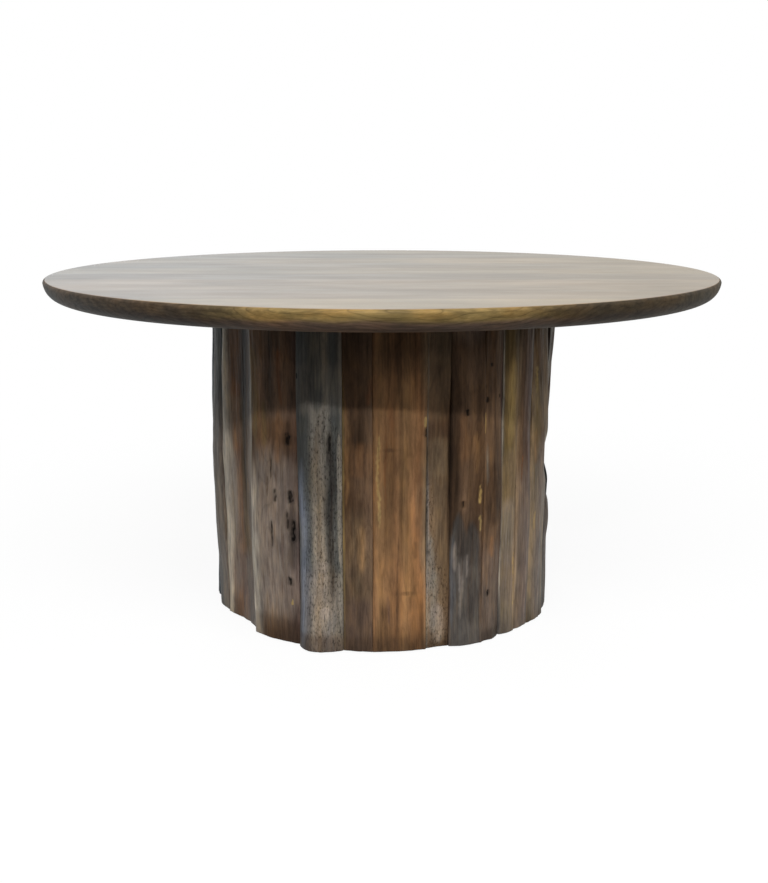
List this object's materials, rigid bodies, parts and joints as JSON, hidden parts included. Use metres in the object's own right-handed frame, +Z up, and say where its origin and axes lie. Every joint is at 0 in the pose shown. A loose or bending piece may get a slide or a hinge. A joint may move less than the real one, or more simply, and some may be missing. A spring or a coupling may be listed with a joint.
{
  "type": "round drum-base dining table",
  "caption": "Round dining table: plank top with an undercut rim on a hollow drum of upright live-edge staves, standing on hidden screw-in levellers.",
  "frame": {"origin": "on the floor under the middle of the drum", "axes": "+Z up, front towards -Y, the planks of the top run along X"},
  "size_m": [1.4998, 1.5, 0.762],
  "materials": {
    "top_planks": "satin oiled hardwood, grey-brown, with an olive-yellow edge",
    "stave_brown": "satin lacquered live-edge hardwood, mid brown",
    "stave_grey": "weathered grey live-edge hardwood under clear lacquer",
    "stave_dark": "dark brown live-edge hardwood",
    "stave_gold": "golden to orange-brown live-edge hardwood",
    "plywood": "birch plywood, unfinished",
    "frame_timber": "planed softwood, unfinished",
    "black_steel": "black powder coat",
    "zinc_steel": "bright zinc plate",
    "brass": "plain brass",
    "nylon": "black moulded nylon"
  },
  "bodies": {
    "table": {"stave_01": "stave_brown", "stave_02": "stave_brown", "stave_03": "stave_grey", "stave_04": "stave_dark", "stave_05": "stave_gold", "stave_06": "stave_grey", "stave_07": "stave_dark", "stave_08": "stave_brown", "stave_09": "stave_gold", "stave_10": "stave_brown", "stave_11": "stave_brown", "stave_12": "stave_dark", "stave_13": "stave_brown", "stave_14": "stave_grey", "stave_15": "stave_gold", "stave_16": "stave_dark", "stave_17": "stave_brown", "stave_18": "stave_grey", "stave_19": "stave_gold", "stave_20": "stave_brown", "stave_21": "stave_dark", "stave_22": "stave_gold", "stave_23": "stave_brown", "stave_24": "stave_grey", "stave_25": "stave_dark", "top_plank_1": "top_planks", "top_plank_2": "top_planks", "top_plank_3": "top_planks", "top_plank_4": "top_planks", "top_plank_5": "top_planks", "top_plank_6": "top_planks", "top_plank_7": "top_planks", "top_plank_8": "top_planks", "top_plank_9": "top_planks", "top_tongues": "plywood", "stiffening_channel_left": "black_steel", "stiffening_channel_right": "black_steel", "channel_screws": "zinc_steel", "top_ring": "plywood", "middle_ring": "plywood", "bottom_ring": "plywood", "frame_post_1": "frame_timber", "frame_post_2": "frame_timber", "frame_post_3": "frame_timber", "frame_post_4": "frame_timber", "post_screws": "zinc_steel", "stave_screws": "zinc_steel", "top_bolts": "zinc_steel", "top_inserts": "brass", "leveller_nuts": "zinc_steel"},
    "leveller_front_right": {"glide_front_right": "nylon", "stem_front_right": "zinc_steel"},
    "leveller_back_right": {"glide_back_right": "nylon", "stem_back_right": "zinc_steel"},
    "leveller_back_left": {"glide_back_left": "nylon", "stem_back_left": "zinc_steel"},
    "leveller_front_left": {"glide_front_left": "nylon", "stem_front_left": "zinc_steel"}
  },
  "joints": [
    {"name": "level_front_right", "type": "slide", "parent": "table", "child": "leveller_front_right", "axis": [0, 0, -1], "range_m": [0, 0.012]},
    {"name": "level_back_right", "type": "slide", "parent": "table", "child": "leveller_back_right", "axis": [0, 0, -1], "range_m": [0, 0.012]},
    {"name": "level_back_left", "type": "slide", "parent": "table", "child": "leveller_back_left", "axis": [0, 0, -1], "range_m": [0, 0.012]},
    {"name": "level_front_left", "type": "slide", "parent": "table", "child": "leveller_front_left", "axis": [0, 0, -1], "range_m": [0, 0.012]}
  ]
}
